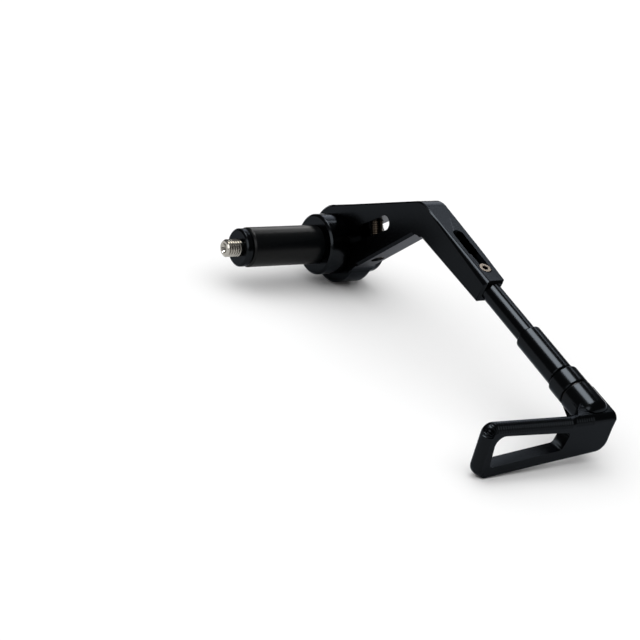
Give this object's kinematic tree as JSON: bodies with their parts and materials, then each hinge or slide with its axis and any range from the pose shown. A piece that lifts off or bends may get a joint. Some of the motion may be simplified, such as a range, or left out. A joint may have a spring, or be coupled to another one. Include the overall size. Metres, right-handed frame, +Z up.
{
  "type": "brake lever guard",
  "caption": "Black anodised brake lever guard with an expanding handlebar plug, a bent clamp arm, a sliding rod and a windowed paddle.",
  "frame": {"origin": "on the handlebar axis at the inner collar's face, which the handlebar's end meets", "axes": "+X along the handlebar axis towards the plug's free end, +Y forwards along the arm, +Z up"},
  "size_m": [0.0816, 0.1988, 0.0599],
  "materials": {
    "black_anodised": "gloss black anodised",
    "steel": "zinc plated",
    "black_rubber": "smooth black"
  },
  "bodies": {
    "bar_end": {"outer_collar": "black_anodised", "inner_collar": "black_anodised", "plug_sleeve": "black_rubber", "pull_disc": "black_anodised", "expander_bolt": "steel", "bolt_washer": "steel"},
    "clamp_arm": {"arm": "black_anodised", "pinch_bolt": "steel"},
    "paddle_rod": {"rod": "black_anodised", "lock_screw": "steel", "sleeve": "black_anodised", "ring": "black_anodised", "seal": "black_rubber", "paddle": "black_anodised"}
  },
  "joints": [
    {"name": "arm_angle", "type": "hinge", "parent": "bar_end", "child": "clamp_arm", "pos_m": [0, 0, 0], "axis": [1, 0, 0], "range_deg": [-90, 90]},
    {"name": "rod_length", "type": "slide", "parent": "clamp_arm", "child": "paddle_rod", "axis": [0, -0.9622, 0.2723], "range_m": [0, 0.021]}
  ]
}
